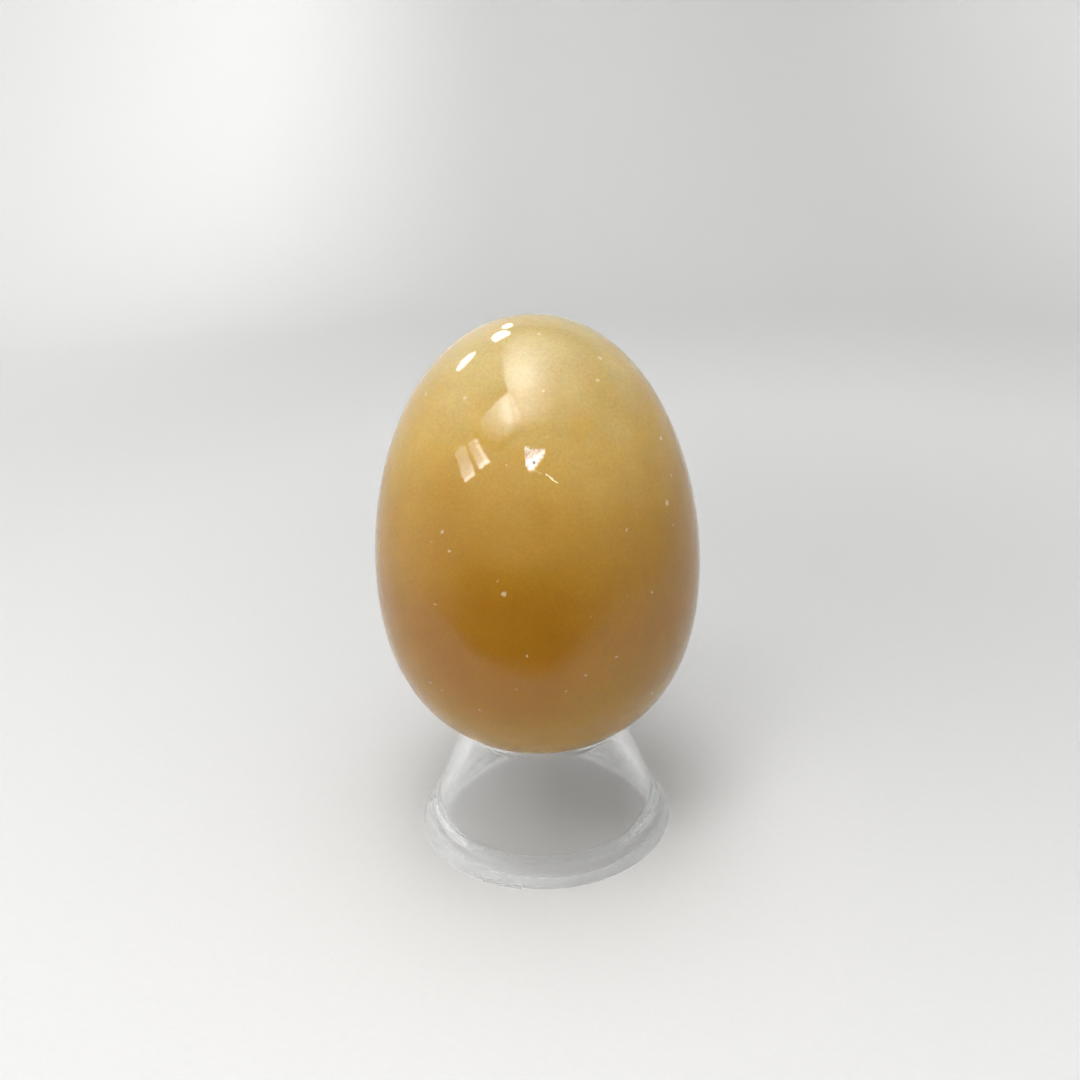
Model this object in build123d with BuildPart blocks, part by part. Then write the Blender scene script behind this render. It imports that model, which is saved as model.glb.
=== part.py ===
"""Polished stone egg that rests loosely, blunt end down, in a clear moulded ring stand.

Millimetres, +Z up. The origin is the centre of the stand's floor face.
The front is -Y, and the gate mark on the foot is to the left of it.
"""

import os
from math import cos, hypot, radians, sin, sqrt

from build123d import *

os.makedirs("parts", exist_ok=True)

# Ring stand: a hollow cone that flares out to a foot, open at the top and at the floor
base_diameter = 38.1  # across the floor edge of the foot
stand_height = 16.7  # floor to the top of the lip
lip_diameter = 23.3  # outside of the lip, measured before its edges are rounded
lip_width = 2.75  # across the top of the lip, measured before its edges are rounded
lip_round = 0.5  # rounding of the lip's outer edge
seat_round = 1.0  # rounding of the lip's inner edge, which carries the egg
shoulder_diameter = 33.8  # outside of the cone at the crease above the foot
foot_height = 3.95  # floor to that crease
edge_land = 0.5  # upright band around the floor edge
foot_width = 3.35  # across the floor face, measured before its inner edge is rounded
mouth_round = 1.2  # rounding of that inner edge, around the opening at the floor
shoulder_wall = 1.65  # from the crease in to the bore, at the bend where it starts to narrow
bend_height = 3.6  # floor to that bend
bend_round = 4.0  # rounding of the bore at that bend

# Gate mark: the moulding was cut off its runner here, which left a flat tab and a round stub
gate_angle = 20.2  # round from the front to the middle of the tab
gate_width = 5.8  # along the cut face of the tab
gate_proud = 0.08  # cut face beyond the floor edge, at its middle
gate_root = 1.0  # tab inwards from its cut face into the foot
stub_angle = 24.2  # round from the front to the stub
stub_diameter = 1.3
stub_proud = 0.15  # stub above the sloping face of the foot

# Egg: one solid piece of stone, turned and polished
egg_diameter = 45.9  # at the girth
egg_length = 62.3  # blunt end to tip
girth_height = 26.7  # girth above the blunt end
blunt_fullness = 0.40  # how flat the blunt end is, as a share of the radius
side_fullness = 0.825  # how straight the side below the girth is, as a share of the girth height
tip_fullness = 0.645  # how flat the tip is, as a share of the radius
seat_gap = 0.05  # between the egg and the lip that it rests on

# Section of the stand
base_radius = base_diameter / 2
mouth_radius = base_radius - foot_width
shoulder_radius = shoulder_diameter / 2
bend_radius = shoulder_radius - shoulder_wall
lip_radius = lip_diameter / 2
lip_bore_radius = lip_radius - lip_width

# Sloping face of the foot, as a unit vector up the slope and one square to it
skirt_length = hypot(base_radius - shoulder_radius, foot_height - edge_land)
skirt_in = (base_radius - shoulder_radius) / skirt_length
skirt_up = (foot_height - edge_land) / skirt_length
stub_radius = base_radius - skirt_in * stub_diameter / 2
stub_height = edge_land + skirt_up * stub_diameter / 2
stub_turn = radians(stub_angle)
stub_face = Plane(
    origin=(-stub_radius * sin(stub_turn), -stub_radius * cos(stub_turn), stub_height),
    x_dir=(cos(stub_turn), -sin(stub_turn), 0),
    z_dir=(-skirt_up * sin(stub_turn), -skirt_up * cos(stub_turn), skirt_in),
)
gate_turn = radians(gate_angle)
gate_face = Plane(
    origin=(0, 0, 0),
    x_dir=(cos(gate_turn), -sin(gate_turn), 0),
    z_dir=(-sin(gate_turn), -cos(gate_turn), 0),
).offset(base_radius + gate_proud)

with BuildPart() as stand:
    with BuildSketch(Plane.XZ) as section:
        with BuildLine():
            Polyline(
                (mouth_radius, 0),
                (base_radius, 0),
                (base_radius, edge_land),
                (shoulder_radius, foot_height),
                (lip_radius, stand_height),
                (lip_bore_radius, stand_height),
                (bend_radius, bend_height),
                close=True,
            )
        make_face()
        for corner, rounding in (
            ((mouth_radius, 0), mouth_round),
            ((bend_radius, bend_height), bend_round),
            ((lip_bore_radius, stand_height), seat_round),
            ((lip_radius, stand_height), lip_round),
        ):
            fillet(section.vertices().sort_by_distance(corner)[0], rounding)
    revolve(axis=Axis.Z)
    with BuildSketch(gate_face):
        Rectangle(gate_width, edge_land, align=(Align.CENTER, Align.MIN))
    extrude(amount=-gate_root)
    with BuildSketch(stub_face.offset(-stub_proud)):
        Circle(stub_diameter / 2)
    extrude(amount=2 * stub_proud)

stand.part.label = "stand"
export_step(stand.part, "parts/stand.step")

# Outline of the egg, from the blunt end to the girth and on to the tip
egg_radius = egg_diameter / 2
blunt_reach = blunt_fullness * egg_radius
side_reach = side_fullness * girth_height
tip_reach = tip_fullness * egg_radius
# This reach gives both halves of the outline the same curvature at the girth
shoulder_reach = side_reach * sqrt((egg_radius - tip_reach) / (egg_radius - blunt_reach))
blunt_half = [
    (0, 0),
    (blunt_reach, 0),
    (egg_radius, girth_height - side_reach),
    (egg_radius, girth_height),
]
tip_half = [
    (egg_radius, girth_height),
    (egg_radius, girth_height + shoulder_reach),
    (tip_reach, egg_length),
    (0, egg_length),
]

# Centre of the rounding on the inner edge of the lip, which carries the egg
bore_slope = (bend_radius - lip_bore_radius) / (stand_height - bend_height)
seat_radius = lip_bore_radius + seat_round * (bore_slope + hypot(1, bore_slope))
seat_height = stand_height - seat_round
seat_reach = seat_round + seat_gap

# Walk along the blunt half to the point that comes down on that rounding
with BuildLine(Plane.XZ) as resting_side:
    resting_curve = Bezier(*blunt_half)
near, far = 0.0, 1.0
for halving in range(50):
    share = (near + far) / 2
    touch = resting_curve @ share
    along = resting_curve % share
    if touch.X + along.Z * seat_reach < seat_radius:
        near = share
    else:
        far = share
egg_base = seat_height - (touch.Z - along.X * seat_reach)

with BuildPart() as egg:
    with BuildSketch(Plane((0, 0, egg_base), x_dir=(1, 0, 0), z_dir=(0, -1, 0))):
        with BuildLine():
            Bezier(*blunt_half)
            Bezier(*tip_half)
            Line((0, egg_length), (0, 0))
        make_face()
    revolve(axis=Axis.Z)

egg.part.label = "egg"
export_step(egg.part, "parts/egg.step")

print(f"egg stands {egg_base:.3f} mm above the floor, top at {egg_base + egg_length:.3f} mm")
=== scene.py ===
"""Polished honey stone egg on a clear moulded ring stand: how it looks.

Metres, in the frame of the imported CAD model. The front is -Y.
"""

from math import atan2, cos, pi, radians, sin, tan

import bmesh
import bpy
from mathutils import Matrix, Vector


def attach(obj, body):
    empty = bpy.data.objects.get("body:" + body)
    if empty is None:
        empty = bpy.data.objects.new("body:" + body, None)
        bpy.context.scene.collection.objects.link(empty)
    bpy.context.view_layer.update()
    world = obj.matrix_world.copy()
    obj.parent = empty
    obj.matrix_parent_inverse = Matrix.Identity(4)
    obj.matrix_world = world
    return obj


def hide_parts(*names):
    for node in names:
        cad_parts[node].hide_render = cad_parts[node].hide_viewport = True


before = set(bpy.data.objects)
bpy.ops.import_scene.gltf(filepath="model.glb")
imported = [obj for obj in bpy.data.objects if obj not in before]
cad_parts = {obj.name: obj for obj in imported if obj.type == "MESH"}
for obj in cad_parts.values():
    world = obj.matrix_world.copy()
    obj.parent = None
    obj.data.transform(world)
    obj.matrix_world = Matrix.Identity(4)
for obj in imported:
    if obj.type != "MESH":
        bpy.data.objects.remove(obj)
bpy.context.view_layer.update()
scene = bpy.context.scene
mm = 0.001

# Ring stand: one clear polystyrene moulding, a hollow cone with a flared foot, open at both ends.
# It stands loose on the table and carries the egg on the rounded inner edge of its lip.
# Where it was snipped off its runner, a flat tab and a round stub are left on the foot.
foot_radius = 19.05 * mm
foot_land = 0.5 * mm
shoulder_radius = 16.9 * mm
shoulder_height = 3.95 * mm
lip_radius = 11.65 * mm
lip_bore_radius = 8.9 * mm
stand_height = 16.7 * mm
bend_radius = 15.25 * mm
bend_height = 3.6 * mm
mouth_radius = 15.7 * mm
stand_facets = 288

# Radius, height and rounding of each corner of the section, from the mouth out, up and down the bore
stand_corners = [
    (mouth_radius, 0, 1.2 * mm),
    (foot_radius, 0, 0.06 * mm),
    (foot_radius, foot_land, 0.14 * mm),
    (shoulder_radius, shoulder_height, 0.3 * mm),
    (lip_radius, stand_height, 0.5 * mm),
    (lip_bore_radius, stand_height, 1.0 * mm),
    (bend_radius, bend_height, 4.0 * mm),
]


def rounded_section(corners, steps=8):
    """The section's outline with every corner turned into an arc."""
    outline = []
    for place, (radius, height, rounding) in enumerate(corners):
        corner = Vector((radius, height))
        back = (Vector(corners[place - 1][:2]) - corner).normalized()
        onward = (Vector(corners[(place + 1) % len(corners)][:2]) - corner).normalized()
        half_angle = back.angle(onward) / 2
        centre = corner + (back + onward).normalized() * rounding / sin(half_angle)
        first = corner + back * rounding / tan(half_angle) - centre
        last = corner + onward * rounding / tan(half_angle) - centre
        for step in range(steps + 1):
            outline.append(centre + first.lerp(last, step / steps).normalized() * rounding)
    return outline


def turned_shape(outline, facets, closed=True):
    """An outline of (radius, height) points, closed or open, turned once around the Z axis."""
    shape = bmesh.new()
    rows = []
    for facet in range(facets):
        turn = 2 * pi * facet / facets
        rows.append([shape.verts.new((r * sin(turn), -r * cos(turn), z)) for r, z in outline])
    for facet in range(facets):
        row, following = rows[facet - 1], rows[facet]
        for place in range(0 if closed else 1, len(outline)):
            shape.faces.new((row[place - 1], row[place], following[place], following[place - 1]))
    bmesh.ops.recalc_face_normals(shape, faces=shape.faces)
    return shape


def mesh_object(name, shape):
    """An object at the origin from a bmesh, which is used up."""
    mesh = bpy.data.meshes.new(name)
    shape.to_mesh(mesh)
    shape.free()
    made = bpy.data.objects.new(name, mesh)
    scene.collection.objects.link(made)
    return made


def plain_mesh(piece):
    """Replaces a piece's mesh by what its modifiers make of it, and takes them off."""
    bpy.context.view_layer.update()
    depsgraph = bpy.context.evaluated_depsgraph_get()
    mesh = bpy.data.meshes.new_from_object(piece.evaluated_get(depsgraph))
    piece.modifiers.clear()
    piece.data = mesh


ring_stand = mesh_object("ring_stand", turned_shape(rounded_section(stand_corners), stand_facets))

# The tab's cut face is square to the direction of the gate, just beyond the floor edge
tab_turn = radians(-20.2)
tab_width = 5.8 * mm
tab_depth = 1.0 * mm
tab_proud = 0.08 * mm
tab_shape = bmesh.new()
bmesh.ops.create_cube(tab_shape, size=1.0)
bmesh.ops.scale(tab_shape, vec=(tab_width, tab_depth, foot_land), verts=tab_shape.verts)
tab_middle = foot_radius + tab_proud - tab_depth / 2
bmesh.ops.translate(tab_shape, vec=(0, -tab_middle, foot_land / 2), verts=tab_shape.verts)
bmesh.ops.rotate(tab_shape, matrix=Matrix.Rotation(tab_turn, 3, "Z"), verts=tab_shape.verts)
gate_tab = mesh_object("gate_tab", tab_shape)

# The stub stands square on the sloping face of the foot, its rim at the floor edge
stub_turn = radians(-24.2)
stub_radius = 0.65 * mm
stub_proud = 0.15 * mm
stub_edge_round = 0.06 * mm
stub_facets = 48
skirt = Vector((0, foot_radius - shoulder_radius, shoulder_height - foot_land)).normalized()
stub_place = Vector((0, -foot_radius, foot_land)) + skirt * stub_radius
stub_shape = bmesh.new()
bmesh.ops.create_cone(
    stub_shape,
    cap_ends=True,
    segments=stub_facets,
    radius1=stub_radius,
    radius2=stub_radius,
    depth=2 * stub_proud,
)
rim = [edge for edge in stub_shape.edges if all(vert.co.z > 0 for vert in edge.verts)]
bmesh.ops.bevel(
    stub_shape,
    geom=rim,
    offset=stub_edge_round,
    segments=3,
    profile=0.5,
    affect="EDGES",
)
slope = Vector((0, -skirt.z, skirt.y)).to_track_quat("Z", "Y").to_matrix()
bmesh.ops.rotate(stub_shape, matrix=slope, verts=stub_shape.verts)
bmesh.ops.translate(stub_shape, vec=stub_place, verts=stub_shape.verts)
bmesh.ops.rotate(stub_shape, matrix=Matrix.Rotation(stub_turn, 3, "Z"), verts=stub_shape.verts)
gate_stub = mesh_object("gate_stub", stub_shape)

for mark in (gate_tab, gate_stub):
    union = ring_stand.modifiers.new(mark.name, "BOOLEAN")
    union.operation = "UNION"
    union.solver = "EXACT"
    union.object = mark
plain_mesh(ring_stand)
for mark in (gate_tab, gate_stub):
    bpy.data.objects.remove(mark)
for face in ring_stand.data.polygons:
    face.use_smooth = True
sharp_from = radians(32)
ring_stand.data.set_sharp_from_angle(angle=sharp_from)


def add_node(tree, kind, inputs=(), **settings):
    """A node with its settings; inputs maps a socket's name or number to a value or a socket."""
    made = tree.nodes.new(kind)
    for name, value in settings.items():
        setattr(made, name, value)
    for socket, value in dict(inputs).items():
        if isinstance(value, bpy.types.NodeSocket):
            tree.links.new(value, made.inputs[socket])
        else:
            made.inputs[socket].default_value = value
    return made


def new_material(name):
    """A material with only its output node."""
    made = bpy.data.materials.new(name)
    made.use_nodes = True
    made.node_tree.nodes.clear()
    return made, made.node_tree, made.node_tree.nodes.new("ShaderNodeOutputMaterial")


def math_node(tree, operation, *values):
    """The result of a Math node on values or sockets."""
    return add_node(tree, "ShaderNodeMath", enumerate(values), operation=operation).outputs[0]


def vector_math(tree, operation, *values):
    """The vector result of a Vector Math node on values or sockets."""
    return add_node(tree, "ShaderNodeVectorMath", enumerate(values), operation=operation).outputs[0]


def vector_measure(tree, operation, *values):
    """The number that a Vector Math node gives, such as a length or a dot product."""
    made = add_node(tree, "ShaderNodeVectorMath", enumerate(values), operation=operation)
    return made.outputs["Value"]


def noise(tree, place, scale, detail, roughness):
    """The level of a noise texture at a place, around 0.5."""
    made = add_node(
        tree,
        "ShaderNodeTexNoise",
        {"Vector": place, "Scale": scale, "Detail": detail, "Roughness": roughness},
    )
    return made.outputs[0]


def ranged(tree, value, given, wanted=(0.0, 1.0), **settings):
    """A value taken from the given range to the wanted one, and held at its ends."""
    made = add_node(
        tree,
        "ShaderNodeMapRange",
        {
            "Value": value,
            "From Min": given[0],
            "From Max": given[1],
            "To Min": wanted[0],
            "To Max": wanted[1],
        },
        **settings,
    )
    return made.outputs["Result"]


def shaded(tree, colour, level):
    """A colour made darker or lighter by a level."""
    made = add_node(
        tree,
        "ShaderNodeMix",
        {"Factor": 1.0, 6: colour, 7: level},
        data_type="RGBA",
        blend_type="MULTIPLY",
    )
    return made.outputs[2]


# Clear plastic: handled and slightly dulled here and there, with faint flow waves from the mould
clear_plastic, tree, output = new_material("clear_plastic")
place = add_node(tree, "ShaderNodeTexCoord").outputs["Object"]
height = add_node(tree, "ShaderNodeSeparateXYZ", {0: place}).outputs["Z"]
from_axis = vector_measure(tree, "LENGTH", vector_math(tree, "MULTIPLY", place, (1, 1, 0)))
dulling = noise(tree, place, scale=420.0, detail=4.0, roughness=0.6)
gloss = ranged(tree, dulling, (0.4, 0.75), (0.015, 0.07))
# The floor face is scuffed dull by years of being pushed about
scuffed = ranged(tree, height, (0.02 * mm, 0.06 * mm), (0.7, 0.0))
# The core of the mould left the bore less shiny than the outside, and its mouth is scuffed too;
# the line that tells the bore from the outside runs within the wall and leans in as it does
bore_line = (17.7 * mm, 17.9 * mm)
bore_lean = 0.45
wall_side = math_node(tree, "MULTIPLY_ADD", height, bore_lean, from_axis)
in_bore = ranged(tree, wall_side, bore_line, (1.0, 0.0))
bore_dulling = ranged(tree, height, (0.0, 2.5 * mm), (0.5, 0.12))
bore_dull = math_node(tree, "MULTIPLY", in_bore, bore_dulling)
# The sloping face of the foot is rubbed dull, most of all along the crease above it
foot_inside = 16.4 * mm
on_foot = math_node(tree, "GREATER_THAN", from_axis, foot_inside)
rubbed = ranged(
    tree, height, (shoulder_height - 0.1 * mm, shoulder_height + 0.05 * mm), (0.22, 0.0)
)
crease = math_node(tree, "COMPARE", height, shoulder_height, 0.06 * mm)
worn = math_node(tree, "MULTIPLY_ADD", crease, 0.3, rubbed)
roughness = math_node(tree, "MULTIPLY_ADD", worn, on_foot, gloss)
for duller in (scuffed, bore_dull):
    roughness = math_node(tree, "ADD", roughness, duller)
flow = noise(tree, place, scale=150.0, detail=1.0, roughness=0.4)
ripple = add_node(
    tree, "ShaderNodeBump", {"Height": flow, "Strength": 0.12, "Distance": 0.2 * mm}
)
plastic = add_node(
    tree,
    "ShaderNodeBsdfPrincipled",
    {
        "Base Color": (0.985, 0.99, 0.99, 1),
        "Roughness": roughness,
        "IOR": 1.5,
        "Transmission Weight": 1.0,
        "Normal": ripple.outputs["Normal"],
    },
)
# Lamp light goes straight through the wall to the table, a little dimmed
lamp_light = add_node(tree, "ShaderNodeBsdfTransparent", {"Color": (0.88, 0.885, 0.885, 1)})
shown = add_node(
    tree,
    "ShaderNodeMixShader",
    {
        0: add_node(tree, "ShaderNodeLightPath").outputs["Is Shadow Ray"],
        1: plastic.outputs["BSDF"],
        2: lamp_light.outputs["BSDF"],
    },
)
tree.links.new(shown.outputs["Shader"], output.inputs["Surface"])
ring_stand.data.materials.clear()
ring_stand.data.materials.append(clear_plastic)
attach(ring_stand, "stand")
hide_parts("stand")

# Egg: one solid piece of translucent honey calcite, turned to an egg outline and polished all over.
# It lies loose, blunt end down, on the lip of the ring, and is held by its weight alone.
egg_radius = 22.95 * mm
egg_length = 62.3 * mm
egg_girth = 26.7 * mm
egg_base = 14.615 * mm
blunt_fullness = 0.40
side_fullness = 0.825
tip_fullness = 0.645

# Chip: a flake has sprung off the polish high on the front, and left one bright cleavage face
chip_middle = Vector((-0.06, -18.26, 63.13)) * mm
chip_outward = Vector((0.0, -0.9, 0.436)).normalized()
chip_right = Vector((1, 0, 0))
chip_up = chip_outward.cross(chip_right)
chip_face_depth = 0.42 * mm
chip_face_slope = Vector((-0.21, 0.18))
chip_raggedness = 0.2 * mm
chip_fade = 0.1 * mm
chip_reach_back = 4 * mm
cleavage_from = 0.02 * mm
# Corners of its edge in mm, to the right of its middle and above it, and how steeply each side goes in
chip_edge = [
    (-0.96, 1.2, 2.0),
    (-0.36, 1.44, 0.9),
    (0.96, 0.96, 0.5),
    (1.69, 0.84, 1.2),
    (1.2, 0.12, 1.6),
    (0.48, -1.08, 1.6),
    (-0.24, -1.44, 3.0),
    (-0.96, -1.08, 4.0),
]

stone, tree, output = new_material("polished_stone")

turning = bpy.data.node_groups.new("egg_turning", "GeometryNodeTree")
turning.interface.new_socket("Egg", in_out="OUTPUT", socket_type="NodeSocketGeometry")
turning_inputs = {
    "Girth Radius": egg_radius,
    "Length": egg_length,
    "Girth Height": egg_girth,
    "Base Height": egg_base,
    "Blunt Fullness": blunt_fullness,
    "Side Fullness": side_fullness,
    "Tip Fullness": tip_fullness,
    "Chip Face Depth": chip_face_depth,
}
socket_names = {}
for name in turning_inputs:
    made = turning.interface.new_socket(name, in_out="INPUT", socket_type="NodeSocketFloat")
    socket_names[name] = made.identifier
made = turning.interface.new_socket("Stone", in_out="INPUT", socket_type="NodeSocketMaterial")
socket_names["Stone"] = made.identifier
given = turning.nodes.new("NodeGroupInput").outputs
egg_out = turning.nodes.new("NodeGroupOutput")


def point(tree, x=0.0, y=0.0, z=0.0):
    """A vector from three values or sockets."""
    return add_node(tree, "ShaderNodeCombineXYZ", {0: x, 1: y, 2: z}).outputs[0]


blunt_reach = math_node(turning, "MULTIPLY", given["Girth Radius"], given["Blunt Fullness"])
side_reach = math_node(turning, "MULTIPLY", given["Girth Height"], given["Side Fullness"])
tip_reach = math_node(turning, "MULTIPLY", given["Girth Radius"], given["Tip Fullness"])
# The reach above the girth that gives both halves of the outline one curvature there
tip_room = math_node(turning, "SUBTRACT", given["Girth Radius"], tip_reach)
blunt_room = math_node(turning, "SUBTRACT", given["Girth Radius"], blunt_reach)
evenness = math_node(turning, "SQRT", math_node(turning, "DIVIDE", tip_room, blunt_room))
shoulder_reach = math_node(turning, "MULTIPLY", side_reach, evenness)

outline_detail = 1500
girth = point(turning, given["Girth Radius"], 0.0, given["Girth Height"])
below_girth = math_node(turning, "SUBTRACT", given["Girth Height"], side_reach)
above_girth = math_node(turning, "ADD", given["Girth Height"], shoulder_reach)
blunt_half = add_node(
    turning,
    "GeometryNodeCurvePrimitiveBezierSegment",
    {
        "Resolution": outline_detail,
        "Start": (0, 0, 0),
        "Start Handle": point(turning, blunt_reach),
        "End Handle": point(turning, given["Girth Radius"], 0.0, below_girth),
        "End": girth,
    },
)
tip_half = add_node(
    turning,
    "GeometryNodeCurvePrimitiveBezierSegment",
    {
        "Resolution": outline_detail,
        "Start": girth,
        "Start Handle": point(turning, given["Girth Radius"], 0.0, above_girth),
        "End Handle": point(turning, tip_reach, 0.0, given["Length"]),
        "End": point(turning, 0.0, 0.0, given["Length"]),
    },
)

# A sheet of rows and columns that lie closest together around the chip is wrapped round the axis
columns = 384
rows = 236
crowding = 0.72
crowded_row = 0.80
sheet = add_node(
    turning,
    "GeometryNodeMeshGrid",
    {"Size X": 1.0, "Size Y": 1.0, "Vertices X": columns + 1, "Vertices Y": rows + 1},
)
sheet_place = add_node(
    turning,
    "ShaderNodeSeparateXYZ",
    {0: turning.nodes.new("GeometryNodeInputPosition").outputs[0]},
)
around = math_node(turning, "MULTIPLY", sheet_place.outputs["X"], 2 * pi)
crowded_around = math_node(
    turning,
    "SUBTRACT",
    around,
    math_node(turning, "MULTIPLY", math_node(turning, "SINE", around), crowding),
)
along = math_node(turning, "ADD", sheet_place.outputs["Y"], 0.5)
from_crowd = math_node(
    turning, "MULTIPLY", math_node(turning, "SUBTRACT", along, crowded_row), 2 * pi
)
crowd_wave = math_node(
    turning, "ADD", math_node(turning, "SINE", from_crowd), sin(2 * pi * crowded_row)
)
crowded_along = math_node(
    turning,
    "SUBTRACT",
    along,
    math_node(turning, "MULTIPLY", crowd_wave, crowding / (2 * pi)),
)
half_share = math_node(turning, "MULTIPLY", crowded_along, 2.0)
blunt_point = add_node(
    turning,
    "GeometryNodeSampleCurve",
    {"Curves": blunt_half.outputs["Curve"], "Factor": half_share},
    mode="FACTOR",
)
tip_point = add_node(
    turning,
    "GeometryNodeSampleCurve",
    {
        "Curves": tip_half.outputs["Curve"],
        "Factor": math_node(turning, "SUBTRACT", half_share, 1.0),
    },
    mode="FACTOR",
)
on_outline = add_node(
    turning,
    "GeometryNodeSwitch",
    {
        "Switch": math_node(turning, "GREATER_THAN", half_share, 1.0),
        "False": blunt_point.outputs["Position"],
        "True": tip_point.outputs["Position"],
    },
    input_type="VECTOR",
)
outline_place = add_node(turning, "ShaderNodeSeparateXYZ", {0: on_outline.outputs[0]})
wrapped = point(
    turning,
    math_node(
        turning, "MULTIPLY", outline_place.outputs["X"], math_node(turning, "SINE", crowded_around)
    ),
    math_node(
        turning,
        "MULTIPLY",
        outline_place.outputs["X"],
        math_node(
            turning, "MULTIPLY", math_node(turning, "COSINE", crowded_around), -1.0
        ),
    ),
    math_node(turning, "ADD", outline_place.outputs["Z"], given["Base Height"]),
)
turned = add_node(
    turning,
    "GeometryNodeSetPosition",
    {"Geometry": sheet.outputs["Mesh"], "Position": wrapped},
)
closed = add_node(
    turning,
    "GeometryNodeMergeByDistance",
    {"Geometry": turned.outputs[0], "Distance": 0.001 * mm},
)

# The chip goes in by the shallowest of its sides and its face, each side sloping down from its edge
surface_place = turning.nodes.new("GeometryNodeInputPosition").outputs[0]
from_chip = vector_math(turning, "SUBTRACT", surface_place, tuple(chip_middle))
right_of_chip = vector_measure(turning, "DOT_PRODUCT", from_chip, tuple(chip_right))
above_chip = vector_measure(turning, "DOT_PRODUCT", from_chip, tuple(chip_up))
out_of_chip = vector_measure(turning, "DOT_PRODUCT", from_chip, tuple(chip_outward))


def chip_slope(start_depth, slope):
    """Depth below the polish of a plane that goes in by a slope to the right and one upwards."""
    sideways = math_node(turning, "MULTIPLY_ADD", right_of_chip, slope.x, start_depth)
    return math_node(turning, "MULTIPLY_ADD", above_chip, slope.y, sideways)


splinter = noise(turning, surface_place, scale=1400.0, detail=2.0, roughness=0.6)
ragged = math_node(turning, "MULTIPLY", math_node(turning, "SUBTRACT", splinter, 0.5), chip_raggedness)
chip_sides = 1.0
for corner, (x, z, steepness) in enumerate(chip_edge):
    next_x, next_z, _ = chip_edge[(corner + 1) % len(chip_edge)]
    slope = Vector((next_z - z, x - next_x)).normalized() * steepness
    side = chip_slope(-slope.dot(Vector((x, z))) * mm, slope)
    chip_sides = math_node(turning, "MINIMUM", chip_sides, math_node(turning, "ADD", side, ragged))
chip_face = chip_slope(given["Chip Face Depth"], chip_face_slope)
near_side = math_node(turning, "GREATER_THAN", out_of_chip, -chip_reach_back)
chip_in = math_node(
    turning,
    "MULTIPLY",
    math_node(
        turning, "MAXIMUM", math_node(turning, "MINIMUM", chip_sides, chip_face), 0.0
    ),
    near_side,
)
broken = add_node(
    turning,
    "GeometryNodeStoreNamedAttribute",
    {
        "Geometry": closed.outputs[0],
        "Name": "chip",
        "Value": math_node(turning, "MULTIPLY", chip_in, 1 / chip_fade),
    },
    data_type="FLOAT",
    domain="POINT",
)
cleft = add_node(
    turning,
    "GeometryNodeStoreNamedAttribute",
    {
        "Geometry": broken.outputs[0],
        "Name": "cleavage",
        "Value": math_node(
            turning,
            "MULTIPLY",
            math_node(turning, "GREATER_THAN", chip_sides, chip_face),
            math_node(turning, "GREATER_THAN", chip_in, cleavage_from),
        ),
    },
    data_type="FLOAT",
    domain="POINT",
)
chipped = add_node(
    turning,
    "GeometryNodeSetPosition",
    {
        "Geometry": cleft.outputs[0],
        "Offset": add_node(
            turning,
            "ShaderNodeVectorMath",
            {0: tuple(-chip_outward), "Scale": chip_in},
            operation="SCALE",
        ).outputs[0],
    },
)
smooth = add_node(turning, "GeometryNodeSetShadeSmooth", {"Geometry": chipped.outputs[0]})
whole = add_node(turning, "GeometryNodeRealizeInstances", {"Geometry": smooth.outputs[0]})
polished = add_node(
    turning,
    "GeometryNodeSetMaterial",
    {"Geometry": whole.outputs[0], "Material": given["Stone"]},
)
turning.links.new(polished.outputs[0], egg_out.inputs[0])

stone_egg = mesh_object("stone_egg", bmesh.new())
lathe = stone_egg.modifiers.new("egg_turning", "NODES")
lathe.node_group = turning
for name, value in turning_inputs.items():
    lathe[socket_names[name]] = value
lathe[socket_names["Stone"]] = stone
plain_mesh(stone_egg)
egg_shape = bmesh.new()
egg_shape.from_mesh(stone_egg.data)
bmesh.ops.recalc_face_normals(egg_shape, faces=egg_shape.faces)
egg_shape.to_mesh(stone_egg.data)
egg_shape.free()


def ramp(tree, level, stops, interpolation="LINEAR"):
    """A colour for a level, from a list of stops, each a level and its colour."""
    made = add_node(tree, "ShaderNodeValToRGB", {0: level})
    made.color_ramp.interpolation = interpolation
    elements = made.color_ramp.elements
    elements.remove(elements[1])
    elements[0].position, elements[0].color = stops[0]
    for position, colour in stops[1:]:
        elements.new(position).color = colour
    return made.outputs["Color"]


# Polished calcite, cloudy and finely sugary: pale honey at the tip, deep amber lower down, partly the
# stone's own colour and partly painted shade for the lower part, which less light reaches
place = add_node(tree, "ShaderNodeTexCoord").outputs["Object"]
stone_place = add_node(tree, "ShaderNodeSeparateXYZ", {0: place}).outputs
clouds = noise(tree, place, scale=55.0, detail=3.0, roughness=0.55)
cloud_drift = 0.35
drift = math_node(tree, "MULTIPLY", math_node(tree, "SUBTRACT", clouds, 0.5), cloud_drift)
share_up = ranged(tree, stone_place["Z"], (egg_base, egg_base + egg_length))
tone = ramp(
    tree,
    math_node(tree, "ADD", share_up, drift),
    [
        (0.04, (0.42, 0.24, 0.04, 1)),
        (0.22, (0.34, 0.175, 0.008, 1)),
        (0.42, (0.345, 0.16, 0.011, 1)),
        (0.68, (0.43, 0.24, 0.028, 1)),
        (0.80, (0.505, 0.32, 0.066, 1)),
        (0.95, (0.545, 0.425, 0.19, 1)),
    ],
)
grain = noise(tree, place, scale=2600.0, detail=2.0, roughness=0.7)
grain_tone = ranged(tree, grain, (0.3, 0.7), (0.91, 1.08))
mottle = noise(tree, place, scale=260.0, detail=3.0, roughness=0.6)
mottle_tone = ranged(tree, mottle, (0.3, 0.7), (0.955, 1.045))
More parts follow.
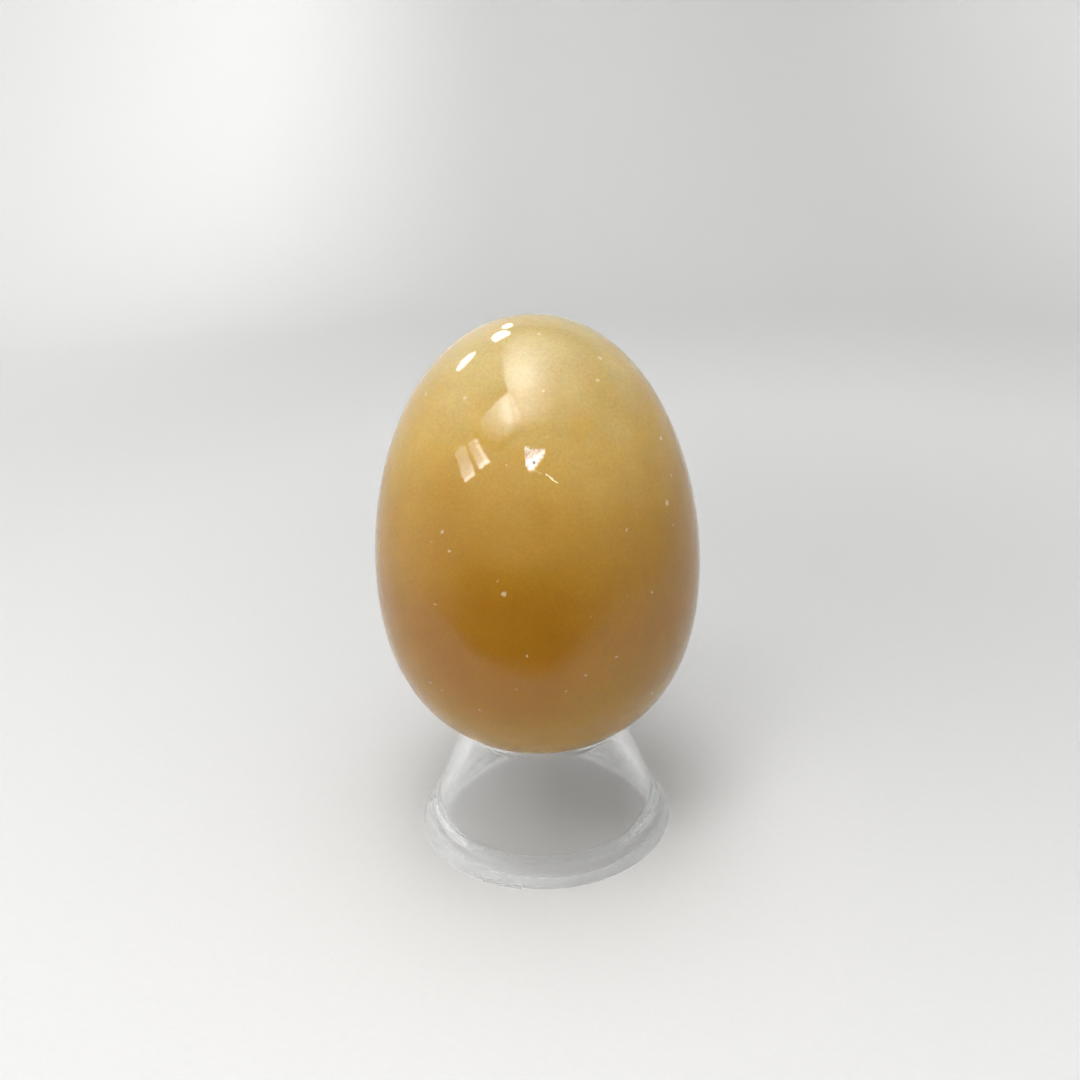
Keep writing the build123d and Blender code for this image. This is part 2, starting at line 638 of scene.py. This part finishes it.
# Painted light: the stone is made a little paler to the left, the side the light comes from
left_painted_light = ranged(tree, stone_place["X"], (-18 * mm, 18 * mm), (1.12, 0.93))
sugar_tone = math_node(tree, "MULTIPLY", grain_tone, mottle_tone)
sugared = shaded(tree, tone, math_node(tree, "MULTIPLY", sugar_tone, left_painted_light))


def faded(tree, apart, full, none):
    """1 up to the distance called full, falling to 0 at the one called none."""
    return ranged(tree, apart, (none, full))


def spot(tree, place, centre, radius):
    """1 at a point on the surface, fading out over a radius given with it in mm."""
    apart = vector_measure(tree, "DISTANCE", place, tuple(Vector(centre) * mm))
    return faded(tree, apart, 0.55 * radius * mm, radius * mm)


def streak(tree, place, start, end, width):
    """1 along a line between two points on the surface, fading out over a width, all in mm."""
    start, end = Vector(start) * mm, Vector(end) * mm
    along = end - start
    from_start = vector_math(tree, "SUBTRACT", place, tuple(start))
    share = vector_measure(tree, "DOT_PRODUCT", from_start, tuple(along / along.length_squared))
    share = add_node(tree, "ShaderNodeClamp", {"Value": share}).outputs[0]
    foot = vector_math(
        tree, "MULTIPLY_ADD", point(tree, share, share, share), tuple(along), tuple(start)
    )
    apart = vector_measure(tree, "DISTANCE", place, foot)
    return faded(tree, apart, 0.4 * width * mm, width * mm)


def any_of(tree, masks):
    """The strongest of several masks at each place."""
    together = masks[0]
    for mask in masks[1:]:
        together = math_node(tree, "MAXIMUM", together, mask)
    return together


def tinted(tree, share, colour, tint):
    """A colour changed towards a tint by a share."""
    made = add_node(tree, "ShaderNodeMix", {"Factor": share, 6: colour, 7: tint}, data_type="RGBA")
    return made.outputs[2]


# A deeper amber patch lies low on the front, a little to the left
patch_middle = (-5.5, -22.0, 38.0)
patch_radius = 14.0
patch_strength = 0.45
patch = spot(tree, place, patch_middle, patch_radius)
deep = math_node(tree, "MULTIPLY", patch, patch_strength)
deepened = tinted(tree, deep, sugared, (0.305, 0.12, 0.006, 1))

# Marks have frayed edges
fraying_width = 0.5 * mm
fraying = add_node(
    tree, "ShaderNodeTexNoise", {"Vector": place, "Scale": 3000.0, "Detail": 1.0, "Roughness": 0.5}
)
frayed = vector_math(
    tree,
    "MULTIPLY_ADD",
    vector_math(tree, "SUBTRACT", fraying.outputs["Color"], (0.5, 0.5, 0.5)),
    (fraying_width, fraying_width, fraying_width),
    place,
)

# Pale flecks of other crystal in the polish, each a place in mm and a radius, and smaller ones at random
pale_flecks = [
    ((16.75, -13.07, 54.82), 0.45),
    ((8.80, -7.27, 72.48), 0.4),
    ((8.32, -10.61, 70.45), 0.35),
    ((-8.20, -12.07, 69.12), 0.32),
    ((-13.52, -6.65, 68.49), 0.3),
    ((1.21, -6.37, 75.61), 0.3),
    ((-4.18, -22.25, 47.05), 0.4),
    ((-11.60, -18.09, 53.84), 0.28),
    ((-10.81, -19.11, 51.70), 0.25),
    ((5.65, -21.85, 35.30), 0.3),
    ((14.81, -14.64, 28.28), 0.35),
    ((16.40, -8.93, 62.22), 0.35),
]
crystals = add_node(
    tree, "ShaderNodeTexVoronoi", {"Vector": frayed, "Scale": 620.0, "Randomness": 1.0}
)
few = math_node(
    tree,
    "GREATER_THAN",
    add_node(tree, "ShaderNodeSeparateColor", {0: crystals.outputs["Color"]}).outputs[0],
    0.88,
)
small_fleck = math_node(
    tree, "MULTIPLY", faded(tree, crystals.outputs["Distance"], 0.07, 0.13), few
)
fleck = any_of(tree, [spot(tree, frayed, *pale) for pale in pale_flecks] + [small_fleck])
flecked = tinted(
    tree, math_node(tree, "MULTIPLY", fleck, 0.6), deepened, (0.80, 0.68, 0.44, 1)
)

# Pores that the polish left open, each a dark prick: rougher and duller, with a faint painted shade
# darkening their colour
pits = add_node(tree, "ShaderNodeTexVoronoi", {"Vector": place, "Scale": 1000.0, "Randomness": 1.0})
some = math_node(
    tree,
    "GREATER_THAN",
    add_node(tree, "ShaderNodeSeparateColor", {0: pits.outputs["Color"]}).outputs[1],
    0.55,
)
pore = math_node(tree, "MULTIPLY", faded(tree, pits.outputs["Distance"], 0.08, 0.16), some)
pore_shaded = tinted(
    tree, math_node(tree, "MULTIPLY", pore, 0.15), flecked, (0.22, 0.125, 0.037, 1)
)

# A hairline crack runs down to the right from below the chip
crack_start = streak(tree, frayed, (-0.20, -18.92, 61.80), (0.95, -19.08, 61.25), 0.12)
crack = any_of(
    tree,
    [
        math_node(tree, "MULTIPLY", crack_start, 0.3),
        streak(tree, frayed, (1.45, -19.07, 61.22), (2.71, -19.37, 60.10), 0.13),
    ],
)
cracked = tinted(tree, crack, pore_shaded, (1.0, 0.90, 0.62, 1))

# The chip's sides are dull and sugary and its face is bright; the hole in it is dark with painted shade
chip = add_node(tree, "ShaderNodeAttribute", attribute_name="chip").outputs["Fac"]
cleavage = add_node(tree, "ShaderNodeAttribute", attribute_name="cleavage").outputs["Fac"]
chip_side_tone = ramp(tree, grain, [(0.4, (0.70, 0.52, 0.35, 1)), (0.6, (0.97, 0.88, 0.72, 1))])
hole_shade = spot(tree, frayed, (0.02, -18.28, 62.48), 0.3)
chip_colour = tinted(tree, cleavage, chip_side_tone, (0.95, 0.93, 0.86, 1))
chip_colour = tinted(tree, hole_shade, chip_colour, (0.34, 0.28, 0.21, 1))
stone_colour = tinted(tree, chip, cracked, chip_colour)

polish = noise(tree, place, scale=240.0, detail=3.0, roughness=0.6)
gloss = ranged(tree, polish, (0.3, 0.8), (0.03, 0.09))
chip_dull = math_node(tree, "SUBTRACT", chip, math_node(tree, "MULTIPLY", cleavage, 0.75))
dull = any_of(tree, [chip_dull, pore, math_node(tree, "MULTIPLY", crack, 0.6)])
waves = add_node(
    tree, "ShaderNodeBump", {"Height": polish, "Strength": 0.15, "Distance": 0.2 * mm}
)
pricked = add_node(
    tree,
    "ShaderNodeBump",
    {
        "Height": math_node(tree, "SUBTRACT", 1.0, pore),
        "Strength": 0.4,
        "Distance": 0.05 * mm,
        "Normal": waves.outputs["Normal"],
    },
)
calcite = add_node(
    tree,
    "ShaderNodeBsdfPrincipled",
    {
        "Base Color": stone_colour,
        "Roughness": math_node(tree, "MULTIPLY_ADD", dull, 0.4, gloss),
        "IOR": 1.5,
        "Specular IOR Level": math_node(tree, "MULTIPLY_ADD", pore, -0.4, 0.5),
        "Normal": pricked.outputs["Normal"],
        "Subsurface Weight": 0.7,
        "Subsurface Radius": (1.0, 0.45, 0.15),
        "Subsurface Scale": 5 * mm,
    },
)
tree.links.new(calcite.outputs["BSDF"], output.inputs["Surface"])
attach(stone_egg, "egg")
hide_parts("egg")

# Table and backdrop: one sheet of matt pale card that sweeps up into a wall all round.
# It lies a hair below the floor face of the stand, and isn't part of the object.
card_flat = 0.45
sweep_radius = 0.45
card_rise = 0.5
card_facets = 96
card_gap = 0.04 * mm
sweep_steps = 24
card_section = [(radius, -card_gap) for radius in (0.0, 0.05, 0.2, card_flat)]
for step in range(1, sweep_steps + 1):
    turn = pi / 2 * step / sweep_steps
    card_section.append(
        (card_flat + sweep_radius * sin(turn), sweep_radius * (1 - cos(turn)) - card_gap)
    )
card_section.append((card_flat + sweep_radius, sweep_radius + card_rise - card_gap))
card_shape = turned_shape(card_section, card_facets, closed=False)
bmesh.ops.remove_doubles(card_shape, verts=card_shape.verts, dist=0.01 * mm)
backdrop = mesh_object("backdrop", card_shape)
for face in backdrop.data.polygons:
    face.use_smooth = True
card, tree, output = new_material("pale_card")
place = add_node(tree, "ShaderNodeTexCoord").outputs["Object"]
fibre = noise(tree, place, scale=900.0, detail=2.0, roughness=0.6)
fibre_tone = ramp(tree, fibre, [(0.0, (0.69, 0.69, 0.685, 1)), (1.0, (0.72, 0.72, 0.715, 1))])
# Painted shadow: the card is greyer behind the egg to the right, where the egg's shadow falls
painted_shadow_place = (0.06, 0.07, 0)
from_painted_shadow = vector_measure(tree, "DISTANCE", place, painted_shadow_place)
card_shadow_tone = ranged(
    tree, from_painted_shadow, (0.0, 0.2), (0.87, 1.09), interpolation_type="SMOOTHSTEP"
)
toned = shaded(tree, fibre_tone, card_shadow_tone)
matt = add_node(tree, "ShaderNodeBsdfDiffuse", {"Color": toned})
# Far from the table the card glows pale by itself, brightest to the left
card_place = add_node(tree, "ShaderNodeSeparateXYZ", {0: place}).outputs
far = ranged(
    tree,
    vector_measure(tree, "LENGTH", place),
    (0.12, 0.85),
    (0.0, 1.2),
    interpolation_type="SMOOTHSTEP",
)
across = ranged(tree, card_place["X"], (-0.42, 0.42))
pale_levels = [(0.0, 0.28), (0.25, 0.40), (0.5, 0.16), (0.75, 0.12), (1.0, 0.22)]
pale_stops = [(stop, (level, level, level, 1)) for stop, level in pale_levels]
pale_share = ramp(tree, across, pale_stops, interpolation="EASE")
# That glow shows to the eye, in reflections and through the plastic, and lights nothing else
path = add_node(tree, "ShaderNodeLightPath").outputs
looked_at = math_node(
    tree,
    "MAXIMUM",
    path["Is Camera Ray"],
    math_node(tree, "MAXIMUM", path["Is Glossy Ray"], path["Is Transmission Ray"]),
)
direct = math_node(tree, "LESS_THAN", path["Diffuse Depth"], 0.5)
shine = math_node(
    tree,
    "MULTIPLY",
    math_node(tree, "MULTIPLY", far, pale_share),
    math_node(tree, "MULTIPLY", looked_at, direct),
)
pale = add_node(tree, "ShaderNodeEmission", {"Color": (1, 1, 0.995, 1), "Strength": shine})
both = add_node(
    tree, "ShaderNodeAddShader", {0: matt.outputs["BSDF"], 1: pale.outputs["Emission"]}
)
tree.links.new(both.outputs["Shader"], output.inputs["Surface"])
backdrop.data.materials.append(card)


# Lamps: glowing cards around the table, a big graded one overhead with a wing to the front left,
# two panes of a curtained window at the front left, and three small lamps at the back left.
# The panes and the small lamps only glint in the polish and the plastic.
def glowing_card(name, corners, brightness, glow, glints_only=False, cells=24):
    """A lamp of four corners, near left, near right, far right, far left; glow shades it by share."""
    near_left, near_right, far_right, far_left = [Vector(corner) for corner in corners]
    shape = bmesh.new()
    grid = []
    for row in range(cells + 1):
        v = row / cells
        left, right = near_left.lerp(far_left, v), near_right.lerp(far_right, v)
        grid.append([shape.verts.new(left.lerp(right, column / cells)) for column in range(cells + 1)])
    for row in range(cells):
        for column in range(cells):
            shape.faces.new(
                (
                    grid[row][column],
                    grid[row][column + 1],
                    grid[row + 1][column + 1],
                    grid[row + 1][column],
                )
            )
    lamp = mesh_object(name, shape)
    levels = lamp.data.attributes.new("glow", "FLOAT", "POINT")
    for number in range((cells + 1) ** 2):
        row, column = divmod(number, cells + 1)
        levels.data[number].value = glow(column / cells, row / cells)
    material, tree, output = new_material(name)
    level = add_node(tree, "ShaderNodeAttribute", attribute_name="glow").outputs["Fac"]
    light = add_node(
        tree, "ShaderNodeEmission", {"Strength": math_node(tree, "MULTIPLY", level, brightness)}
    )
    tree.links.new(light.outputs["Emission"], output.inputs["Surface"])
    lamp.data.materials.append(material)
    lamp.visible_camera = False
    lamp.visible_transmission = False
    lamp.visible_diffuse = not glints_only


def fade(share, full, none):
    """1 at the share called full, falling smoothly to 0 at the share called none."""
    level = min(1.0, max(0.0, (share - none) / (full - none)))
    return level * level * (3 - 2 * level)


def curtained(v):
    """The glow of a window from its near edge to its far one, brightest at the near edge."""
    return 0.4 + 0.4 * fade(v, 0.0, 0.8) + 1.1 * fade(v, 0.0, 0.16)


lamp_height = 0.7
overhead_brightness = 5.5
wing_brightness = 5.7
glint_brightness = 11.0
glowing_card(
    "overhead_card",
    [
        (-0.205, -0.66, lamp_height),
        (0.85, -0.66, lamp_height),
        (0.85, 0.74, lamp_height),
        (-0.25, 0.74, lamp_height),
    ],
    overhead_brightness,
    lambda u, v: (0.75 * fade(u, 0.12, 0.48) + 0.25 * fade(u, 0.3, 1.0))
    * fade(u, 0.01 + 0.5 * max(0, v - 0.42), -0.02)
    * fade(v, 0.19, 0.0)
    * fade(v, 0.38, 0.88)
    * (1 + 0.5 * fade(((u - 0.15) / 0.15) ** 2 + ((v - 0.36) / 0.12) ** 2, 0.0, 1.0)),
)
glowing_card(
    "wing_card",
    [
        (-0.74, -0.89, lamp_height),
        (-0.07, -0.65, lamp_height),
        (-0.20, -0.235, lamp_height),
        (-0.83, -0.46, lamp_height),
    ],
    wing_brightness,
    lambda u, v: fade(u, 0.9, 0.15)
    * fade(v, 0.5, 0.0)
    * (1 + 0.9 * fade(((u - 0.96) / 0.3) ** 2 + ((v - 0.65) / 0.4) ** 2, 0.0, 1.0)),
)
glowing_card(
    "window_left",
    [(-0.630, -0.449, 0.319), (-0.544, -0.500, 0.380), (-0.625, -0.311, 0.460), (-0.697, -0.247, 0.401)],
    glint_brightness,
    lambda u, v: curtained(v),
    glints_only=True,
)
glowing_card(
    "window_right",
    [(-0.515, -0.515, 0.400), (-0.430, -0.567, 0.460), (-0.529, -0.395, 0.537), (-0.602, -0.331, 0.478)],
    glint_brightness,
    lambda u, v: curtained(v) + 0.8 * fade(abs(u - 0.75), 0.0, 0.2),
    glints_only=True,
)
for name, middle, across, up in (
    ("lamp_middle", (-0.203, 0.497, 0.656), (0.125, -0.012, 0.054), (0.041, 0.202, -0.150)),
    ("lamp_far", (-0.124, 0.651, 0.515), (0.067, 0.033, -0.029), (0.0, 0.08, -0.1)),
    ("lamp_side", (-0.471, 0.388, 0.585), (0.152, 0.072, 0.081), (0.018, 0.126, -0.078)),
):
    middle, across, up = Vector(middle), Vector(across) / 2, Vector(up) / 2
    glowing_card(
        name,
        [middle - across - up, middle + across - up, middle + across + up, middle - across + up],
        glint_brightness,
        lambda u, v: fade((u - 0.5) ** 2 + (v - 0.5) ** 2, 0.17, 0.27),
        glints_only=True,
    )

# Black flag: dark gauze in front of the table and to its right keeps the room's reflection off the
# polish. Only reflections see it, and it thins out towards its ends and its top.
flag_edge = [
    Vector((-0.41, 0.12)),
    Vector((-0.215, -0.005)),
    Vector((-0.095, -0.057)),
    Vector((0.05, -0.05)),
    Vector((0.085, -0.03)),
    Vector((0.13, 0.0)),
    Vector((0.18, 0.06)),
    Vector((0.22, 0.12)),
]
flag_reach = 0.44
flag_height = 0.42
flag_lift = 0.5 * mm
flag_steps = 12
flag_shape = bmesh.new()
flag_rows = []
thinning = []
for start, end in zip(flag_edge, flag_edge[1:]):
    for step in range(flag_steps):
        edge = start.lerp(end, step / flag_steps)
        reach = edge.normalized() * flag_reach
        # Angles run from the front to the right; the gauze is whole at the front
        turn = atan2(edge.x, -edge.y)
        width = fade(turn, radians(-30), radians(-95)) * (
            0.4 * fade(turn, radians(80), radians(115)) + 0.6 * fade(turn, radians(5), radians(75))
        )
        hem = 0.05 + 0.3 * fade(turn, radians(60), radians(0))
        row = []
        for stride in range(flag_steps + 1):
            share = (stride / flag_steps) ** 2
            along_floor = edge.lerp(reach, share)
            row.append(flag_shape.verts.new((along_floor.x, along_floor.y, flag_lift)))
            thinning.append(width * fade(share, hem, 0.0))
        for rise in range(1, flag_steps + 1):
            share = rise / flag_steps
            row.append(flag_shape.verts.new((reach.x, reach.y, flag_lift + share * flag_height)))
            thinning.append(width * fade(share, -0.4, 1.0))
        flag_rows.append(row)
for row, following in zip(flag_rows, flag_rows[1:]):
    for stride in range(2 * flag_steps):
        flag_shape.faces.new(
            (row[stride], following[stride], following[stride + 1], row[stride + 1])
        )
flag = mesh_object("black_flag", flag_shape)
thickness = flag.data.attributes.new("thickness", "FLOAT", "POINT")
thickness.data.foreach_set("value", thinning)
cloth, tree, output = new_material("black_cloth")
dark = add_node(tree, "ShaderNodeBsdfDiffuse", {"Color": (0.03, 0.03, 0.032, 1)})
clear = add_node(tree, "ShaderNodeBsdfTransparent")
thin = add_node(
    tree,
    "ShaderNodeMixShader",
    {
        0: add_node(tree, "ShaderNodeAttribute", attribute_name="thickness").outputs["Fac"],
        1: clear.outputs["BSDF"],
        2: dark.outputs["BSDF"],
    },
)
tree.links.new(thin.outputs["Shader"], output.inputs["Surface"])
flag.data.materials.append(cloth)
flag.visible_camera = False
flag.visible_shadow = False
flag.visible_diffuse = False
flag.visible_transmission = False

# Room: a faint even light from beyond the card, which also shows pale where the card ends
room_light = 0.12
world = bpy.data.worlds.new("room")
scene.world = world
world.use_nodes = True
background = world.node_tree.nodes["Background"].inputs
background["Color"].default_value = (1, 1, 1, 1)
background["Strength"].default_value = room_light

# Camera: where the photograph was taken from, looking down on the egg and rolled a little
camera_back = 0.16996
camera_right = 0.000435
camera_raised = 0.04216
pitch = radians(21.364)
roll = radians(1.98)
camera_data = bpy.data.cameras.new("camera")
camera_data.sensor_width = 36.0
camera_data.lens = 36.1
camera_data.clip_start = 0.01
camera_data.clip_end = 10.0
camera = bpy.data.objects.new("camera", camera_data)
forward = Vector((0, cos(pitch), -sin(pitch)))
camera_up = Vector((0, sin(pitch), cos(pitch)))
sideways = Vector((1, 0, 0))
camera.location = forward * -camera_back + sideways * camera_right + camera_up * camera_raised
upright = forward.to_track_quat("-Z", "Y")
camera.rotation_mode = "QUATERNION"
camera.rotation_quaternion = upright @ Matrix.Rotation(-roll, 3, "Z").to_quaternion()
scene.collection.objects.link(camera)
scene.camera = camera

scene.view_settings.view_transform = "Standard"
# Light that runs round inside the clear wall needs many turns before it comes out
scene.cycles.max_bounces = 32
scene.cycles.glossy_bounces = 24
scene.cycles.transmission_bounces = 24
scene.cycles.transparent_max_bounces = 24
